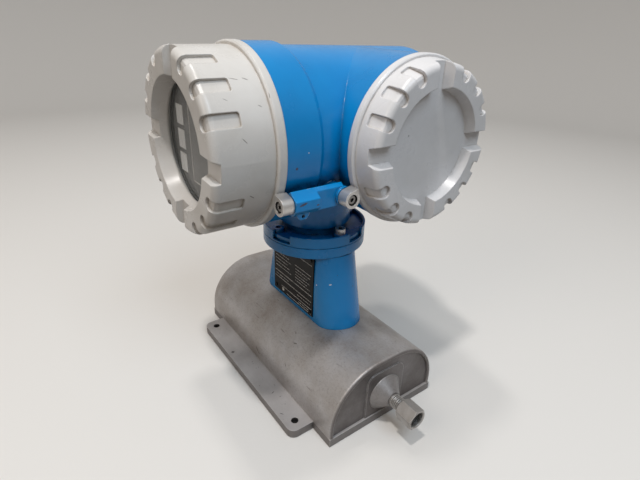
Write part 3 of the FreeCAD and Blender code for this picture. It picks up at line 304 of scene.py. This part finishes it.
def screw_thread(name, start, end, pitch, root, crest, height, finish, body):
    """A screw thread about a line along X at a height, from a ridge spun as it moves on; in metres."""
    mesh = bmesh.new()
    steps = 28
    turns = (end - start) / pitch - 1
    ridge = ((0.05, root), (0.42, crest), (0.58, crest), (0.95, root))
    mesh.faces.new([mesh.verts.new((start + share * pitch, radius, height)) for share, radius in ridge])
    bmesh.ops.spin(
        mesh, geom=mesh.verts[:] + mesh.edges[:] + mesh.faces[:], cent=(0, 0, height), axis=(1, 0, 0),
        dvec=(pitch / steps, 0, 0), angle=2 * math.pi * turns, steps=round(steps * turns))
    place_mesh(mesh, name, finish, body)


nut_pitch, nut_root, nut_crest = 0.0014, 0.00688, 0.0063
gland_pitch, gland_root, gland_crest = 0.0017, 0.0052, 0.006
mouth_lip, mouth_depth, thread_gap = 0.0012, 0.0095, 0.0003
for side in ("inlet", "outlet"):
    nut_low, nut_high = extent(side + "_nut")
    cone_low, cone_high = extent(side + "_dome")
    pipe_height = (nut_low.z + nut_high.z) / 2
    if side == "inlet":
        mouth = (nut_low.x + mouth_lip, nut_low.x + mouth_depth)
        behind = (nut_high.x + thread_gap, cone_low.x - thread_gap)
    else:
        mouth = (nut_high.x - mouth_depth, nut_high.x - mouth_lip)
        behind = (cone_high.x + thread_gap, nut_low.x - thread_gap)
    screw_thread(side + "_nut_thread", *mouth, nut_pitch, nut_root, nut_crest, pipe_height,
                 bore_shade_finish, side + "_coupling")
    screw_thread(side + "_gland_thread", *behind, gland_pitch, gland_root, gland_crest, pipe_height,
                 turned_finish, "sensor")


# Inside the casing: a cast carrier for the tube, and copper coils wound on their bobbins.
# None of it is seen from outside, so the finishes stay plain.
def plain_finish(name, dark, light, rough, scale, detail,
                 stops=(0.3, 0.7), metallic=0.0, stretch=(1, 1, 1)):
    """A finish with one grain, which runs between two screen colours and two roughnesses."""
    finish = new_finish(name, metallic)
    finish["skin"] = grain(finish, scale, detail, stretch=stretch)
    wire(finish, "Base Color", ramp(finish, finish["skin"], list(zip(stops, (dark, light)))))
    wire(finish, "Roughness", spread(finish, finish["skin"], 0.3, 0.7, *rough))
    return finish


iron_finish = plain_finish("cast_iron", (96, 95, 94), (118, 117, 116), (0.5, 0.7), 400, 4, metallic=0.6)
wear(iron_finish, "tube_carrier")
copper_finish = plain_finish("enamelled_copper", (146, 84, 46), (196, 124, 74), (0.24, 0.42), 900, 2,
                             stops=(0.35, 0.65), metallic=0.9, stretch=(0.05, 0.05, 1))
wear(copper_finish, "drive_coil", "pickup_coils")

# Pedestal, bayonet ring and transmitter housing: aluminium castings in sky-blue enamel, sprayed and baked.
# It has a satin gloss with a little orange peel, and its corners and the parts under the housing are
# painted dark as shade.
# Small chips on edges and faces show pale primer, and some have gone brown.
enamel_shades = [(0.3, (1, 118, 182)), (0.5, (2, 128, 194)), (0.7, (4, 135, 202))]
corner_shade, dark_speck, grey_primer = (8, 24, 40), (36, 52, 66), (160, 172, 180)
chip_brown, chip_white = (70, 48, 42), (226, 232, 236)
brown_chips = [
    (79.3, -69, 206.2, 0, 5, 1.2, 0.9), (79.4, -55.4, 204.1, 0, 1.4, 0.4, 0.7),
    (67.9, -65, 228.6, 0, 0, 0, 1.1), (53.4, 6.3, 103.6, 0, 0, 0, 0.8), (50, -9, 118, 0, 0, 0, 0.5)]
white_chips = [
    (48, -14.4, 109.3, -1.2, -1.2, -0.7, 0.8), (36.9, -22, 105.6, 0, 0, 0, 0.7),
    (68.3, -55.7, 238.5, 0, 0, 0, 0.5)]
blue_finish = new_finish("blue_enamel")
blue_finish["shader"].inputs["Specular IOR Level"].default_value = 0.4
shade = grain(blue_finish, 11, 5)
chip = grain(blue_finish, 110, 8, 0.75)
blue_soft, blue_edge = edges(blue_finish, 0.0011)
blue_colour = ramp(blue_finish, shade, enamel_shades)
# Painted shade: hollows, and parts under other pieces, are darkened.
blue_shade = hollows(blue_finish, 0.012, alone=False)
blue_shade = times(blue_finish, blue_shade, spread(blue_finish, chip, 0.3, 0.6, 0.4, 0.9))
blue_colour = over(blue_finish, blue_shade, blue_colour, corner_shade)
blue_colour = tint(blue_finish, blue_colour, dark_speck, chip, 0.745, 0.755, 0.9)
chipped_edge = times(blue_finish, blue_edge, spread(blue_finish, chip, 0.58, 0.62, 0.0, 0.9))
blue_colour = over(blue_finish, chipped_edge, blue_colour, grey_primer)
blue_colour = marks(blue_finish, blue_colour, chip_brown, 0.85, brown_chips)
blue_colour = marks(blue_finish, blue_colour, chip_white, 1.0, white_chips)
wire(blue_finish, "Base Color", blue_colour)
wire(blue_finish, "Roughness", spread(blue_finish, shade, 0.3, 0.7, 0.32, 0.2))
relief(blue_finish, grain(blue_finish, 380, 3), 0.05, 0.0003, blue_soft)
wear(blue_finish, "pedestal", "bayonet_ring", "transmitter_housing")

# Nameplate: a thin black anodised plate held on the pedestal by four drive rivets, blackened like it.
# Its light print is rules, rows of plain dashes and one plain block, faded in places.
plate_finish = plain_finish("black_plate", (13, 12, 11), (22, 20, 19), (0.36, 0.5), 40, 5)
plate_finish["shader"].inputs["Specular IOR Level"].default_value = 0.12
wear(plate_finish, "nameplate", "nameplate_rivets")
print_finish = new_finish("plate_print")
faded = grain(print_finish, 700, 4)
wire(print_finish, "Base Color", ramp(print_finish, faded, [
    (0.35, (150, 145, 139)), (0.6, (240, 237, 232))]))
plate_low, plate_high = extent("nameplate")
plate_size = plate_high - plate_low
ink_proud, ink_sunk, rule_thick, block_thick = 0.00005, 0.00002, 0.0005, 0.0034
print_mesh = bmesh.new()


def add_box(mesh, low, high):
    """Adds a block to a bmesh between two corners."""
    size, middle = high - low, (low + high) / 2
    bmesh.ops.create_cube(mesh, size=1, matrix=Matrix.Translation(middle) @ Matrix.Diagonal((*size, 1)))


def add_rule(left, right, level, thick):
    """A printed bar between two shares of the plate's width, at a share of its height; thick in metres."""
    z = plate_low.z + level * plate_size.z
    add_box(print_mesh, Vector((plate_low.x + left * plate_size.x, plate_low.y - ink_proud, z)),
            Vector((plate_low.x + right * plate_size.x, plate_low.y + ink_sunk, z + thick)))


def add_dashes(left, right, level, first):
    """A row of dashes of mixed lengths, in the same shares, that begins with one of the lengths."""
    lengths, gap = (0.047, 0.024, 0.036, 0.06, 0.03), 0.012
    step = first
    while left < right:
        reach = min(left + lengths[step % len(lengths)], right)
        add_rule(left, reach, level, rule_thick)
        left = reach + gap
        step += 1


for left, right, level in (
        (0.57, 0.96, 0.86), (0.56, 0.95, 0.68), (0.03, 0.97, 0.35), (0.03, 0.97, 0.24),
        (0.2, 0.97, 0.115), (0.35, 0.97, 0.03)):
    add_rule(left, right, level, rule_thick)
for row in range(9):
    add_dashes(0.05, 0.36 + 0.05 * (row % 3), 0.93 - 0.06 * row, row)
for row in range(5):
    add_dashes(0.57, 0.93 - 0.07 * (row % 2), 0.62 - 0.05 * row, row + 2)
for left, right, level in ((0.06, 0.4, 0.29), (0.62, 0.94, 0.18), (0.66, 0.94, 0.07)):
    add_dashes(left, right, level, 1)
add_rule(0.22, 0.27, 0.045, block_thick)
place_mesh(print_mesh, "nameplate_print", print_finish, "sensor")

# Screw-on covers: aluminium castings in off-white powder coat, each with a grip rim and tool notches.
# They are grubby in the hollows, with faint smudges, and the display cover has fine scratches on its side.
# The covers carry one paint; the terminal cover's is painted lighter and cooler, as painted light.
display_shades = ((198, 193, 186), (209, 205, 200), (216, 213, 209))
# The terminal cover's lighter, cooler shades are painted light; its coat is the same as the display
# cover's.
terminal_lit_shades = ((208, 206, 205), (219, 217, 217), (226, 224, 225))
hollow_grime, scuff_grey = (146, 126, 98), (128, 118, 106)
scratch_grey, nick_brown = (112, 106, 102), (70, 62, 54)
display_scratches = [
    (43.9, -100.7, 285.7, 1.3, 6.7, -1.3, 0.4), (44.2, -91.3, 285.4, 1.3, 3.4, -1.2, 0.5),
    (56.5, -87.2, 270.5, 0.7, 2.3, -1.2, 0.4), (53.1, -109.7, 275.4, 1.2, 3.3, -1.5, 0.3),
    (55.6, -78.7, 277.1, 1.6, -0.2, -2.8, 0.4)]
display_nicks = [(63.7, -102.9, 252.8, 0.9, 3.5, -3.7, 0.35), (61.7, -97.9, 213.6, -1, 3.4, -2.4, 0.4)]
terminal_nick = (91.9, 14.6, 247.2, 0, 0, 0, 0.6)
for cover, shades, scratches, nicks in (
        ("display_cover", display_shades, display_scratches, display_nicks),
        ("terminal_cover", terminal_lit_shades, [], [terminal_nick])):
    coat = new_finish(cover + "_coat")
    grime = grain(coat, 18, 7, 0.6)
    scuff = grain(coat, 130, 7, 0.72, stretch=(1, 1, 0.5))
    colour = ramp(coat, grime, list(zip((0.3, 0.5, 0.7), shades)))
    dirt = times(coat, hollows(coat, 0.004), spread(coat, scuff, 0.35, 0.65, 0.2, 0.9))
    colour = over(coat, dirt, colour, hollow_grime)
    colour = tint(coat, colour, scuff_grey, scuff, 0.73, 0.76, 0.5)
    colour = marks(coat, colour, scratch_grey, 0.65, scratches)
    wire(coat, "Base Color", marks(coat, colour, nick_brown, 0.75, nicks))
    wire(coat, "Roughness", spread(coat, grime, 0.3, 0.7, 0.34, 0.2))
    relief(coat, grain(coat, 700, 2), 0.05, 0.0002, edges(coat, 0.0011)[0])
    wear(coat, cover)

# Display window: clear toughened glass held by a ring, with the display module behind it.
# The module is a moulded drum with a grey face and three blank touch fields.
# A fine printed line runs round its screen.
glass_finish = new_finish("window_glass")
glass_finish["shader"].inputs["Base Color"].default_value = (*linear((214, 220, 220)), 1)
glass_finish["shader"].inputs["Alpha"].default_value = 0.1
glass_dust = grain(glass_finish, 60, 5)
wire(glass_finish, "Roughness", spread(glass_finish, glass_dust, 0.3, 0.7, 0.02, 0.1))
wear(glass_finish, "window_glass")
for name, dark, light, piece in (
        ("module_face", (94, 93, 94), (104, 103, 104), "display_module"),
        ("screen", (110, 109, 109), (120, 119, 119), "display_screen"),
        ("touch_field", (236, 237, 238), (244, 245, 246), "touch_keys")):
    wear(plain_finish(name, dark, light, (0.35, 0.5), 400, 3), piece)
screen_low, screen_high = extent("display_screen")
line_mesh, line, line_proud = bmesh.new(), 0.0008, 0.00008
for low_x, high_x, low_z, high_z in (
        (screen_low.x, screen_high.x, screen_low.z, screen_low.z + line),
        (screen_low.x, screen_high.x, screen_high.z - line, screen_high.z),
        (screen_low.x, screen_low.x + line, screen_low.z + line, screen_high.z - line),
        (screen_high.x - line, screen_high.x, screen_low.z + line, screen_high.z - line)):
    add_box(line_mesh, Vector((low_x, screen_low.y - line_proud, low_z)),
            Vector((high_x, screen_low.y + ink_sunk, high_z)))
place_mesh(line_mesh, "screen_line", print_finish, "display_unit")


# Seals, boards, terminals and carriers: black rubber rings, green boards and moulded plastic pieces.
# The rings seal the neck and the covers, and the boards and terminals are fixed inside the housing.
def moulded(name, dark, light, rough):
    """Moulded rubber or plastic with a fine grain in its skin, between two shades and two roughnesses."""
    finish = plain_finish(name, dark, light, rough, 500, 3, stops=(0.4, 0.6))
    relief(finish, finish["skin"], 0.1, 0.0002, edges(finish, 0.0006)[0])
    return finish


rubber_finish = moulded("black_rubber", (24, 24, 24), (36, 35, 35), (0.65, 0.85))
wear(rubber_finish, "neck_seal", "display_cover_seal", "terminal_cover_seal")
wear(moulded("solder_mask", (16, 74, 42), (30, 100, 58), (0.3, 0.4)), "circuit_boards")
wear(moulded("terminal_grey", (120, 124, 124), (134, 138, 138), (0.5, 0.6)), "terminal_block")
dark_plastic = moulded("dark_plastic", (34, 34, 36), (46, 46, 48), (0.42, 0.6))
wear(dark_plastic, "electronics_carrier", "terminal_plate", "signal_feedthrough", "window_retainer")

# Cable glands: dark moulded bodies screwed into the housing's side.
# Each has a rubber insert and a dome nut, with moulded ribs so that it can be tightened by hand.
wear(rubber_finish, "cable_gland_inserts")
wear(dark_plastic, "cable_gland_bodies", "cable_gland_nuts")
dome_low, dome_high = extent("cable_gland_nuts")
dome_r = (dome_high.z - dome_low.z) / 2
rib_count, rib_inset, rib_sunk = 16, 0.0045, 0.0001
rib_length, rib_width, rib_height = 0.0075, 0.0016, 0.0009
rib_mesh = bmesh.new()
for middle_y in (dome_low.y + dome_r, dome_high.y - dome_r):
    for k in range(rib_count):
        turn = Matrix.Rotation(2 * math.pi * k / rib_count, 4, "X")
        at = Matrix.Translation((dome_high.x - rib_inset, 0, dome_r - rib_sunk))
        rib = Matrix.Translation((0, middle_y, dome_low.z + dome_r)) @ turn @ at
        size = Matrix.Diagonal((rib_length, rib_width, rib_height, 1))
        bmesh.ops.create_cube(rib_mesh, size=1, matrix=rib @ size)
place_mesh(rib_mesh, "cable_gland_ribs", dark_plastic, "transmitter")

# Stage: a pale floor that sweeps up into a round backdrop, the lamps and the camera.
# The floor looks pale but throws back less light than it shows, so that undersides stay dark.
# A small lamp almost overhead draws crisp shadows, a fainter one crosses them, and the rest is soft.
floor_r, sweep_r, wall_top, floor_gap = 1.5, 0.7, 1.3, 0.0005
sweep_steps = 15
sweep = [(0, 0), (floor_r, 0)]
for k in range(1, sweep_steps + 1):
    lean = math.radians(90 * k / sweep_steps)
    sweep.append((floor_r + sweep_r * math.sin(lean), sweep_r - sweep_r * math.cos(lean)))
sweep.append((floor_r + sweep_r, wall_top))
bowl = bmesh.new()
profile = [bowl.verts.new((r, 0, z - floor_gap)) for r, z in sweep]
for one, two in zip(profile, profile[1:]):
    bowl.edges.new((one, two))
bmesh.ops.spin(bowl, geom=bowl.verts[:] + bowl.edges[:], cent=(0, 0, 0), axis=(0, 0, 1),
               angle=2 * math.pi, steps=64, use_merge=True)
bmesh.ops.remove_doubles(bowl, verts=bowl.verts, dist=0.0001)
bmesh.ops.recalc_face_normals(bowl, faces=bowl.faces)
floor_data = bpy.data.meshes.new("floor")
bowl.to_mesh(floor_data)
bowl.free()
for polygon in floor_data.polygons:
    polygon.use_smooth = True
floor = bpy.data.objects.new("floor", floor_data)
scene.collection.objects.link(floor)
floor_shown, floor_bounce = (222, 219, 215), (112, 108, 104)
floor_finish = new_finish("pale_floor", roughness=0.8)
ray = floor_finish["tree"].nodes.new("ShaderNodeLightPath").outputs
seen = ray["Is Camera Ray"]
for kind in ("Is Glossy Ray", "Is Transmission Ray"):
    seen = join(floor_finish, "ShaderNodeMath", {0: seen, 1: ray[kind]}, "Value", operation="MAXIMUM")
wire(floor_finish, "Base Color", over(floor_finish, seen, (*linear(floor_bounce), 1), floor_shown))
floor.data.materials.append(floor_finish["material"])

world = bpy.data.worlds.new("studio")
scene.world = world
world.use_nodes = True
sky = world.node_tree.nodes["Background"].inputs
sky["Color"].default_value = (1, 0.97, 0.93, 1)
sky["Strength"].default_value = 0.42


def soft_lamp(name, place, size, power, colour):
    """A square lamp that looks at the middle of the object."""
    lamp = bpy.data.lights.new(name, "AREA")
    lamp.size = size
    lamp.energy = power
    lamp.color = colour
    holder = bpy.data.objects.new(name, lamp)
    holder.location = place
    aim = Vector((0, 0, 0.15)) - Vector(place)
    holder.rotation_euler = aim.to_track_quat("-Z", "Y").to_euler()
    scene.collection.objects.link(holder)


soft_lamp("overhead_lamp", (0.23, -0.46, 1.9), 0.12, 12, (1, 0.97, 0.94))
soft_lamp("crossing_lamp", (-0.37, -0.1, 2.0), 0.15, 6, (1, 0.98, 0.95))
soft_lamp("front_light", (0.2, -1.5, 1.2), 0.8, 5.5, (1, 0.88, 0.76))
soft_lamp("cool_side_light", (1.05, -0.1, 1.45), 0.8, 10, (0.72, 0.86, 1))
soft_lamp("cool_back_light", (-1.0, 0.9, 1.1), 1.2, 0.8, (0.75, 0.88, 1))

eye = bpy.data.cameras.new("eye")
camera = bpy.data.objects.new("eye", eye)
scene.collection.objects.link(camera)
scene.camera = camera
eye.sensor_width = 36
eye.lens = 25.22
eye_place = (0.3127, -0.2272, 0.32)
azimuth, elevation, roll = math.radians(53.08), math.radians(26.2), math.radians(2.1)
flat = math.cos(elevation)
back = Vector((math.sin(azimuth) * flat, -math.cos(azimuth) * flat, math.sin(elevation)))
level = Vector((math.cos(azimuth), math.sin(azimuth), 0))
right = math.cos(roll) * level + math.sin(roll) * back.cross(level)
turned = Matrix((right, back.cross(right), back)).transposed().to_4x4()
camera.matrix_world = Matrix.Translation(eye_place) @ turned
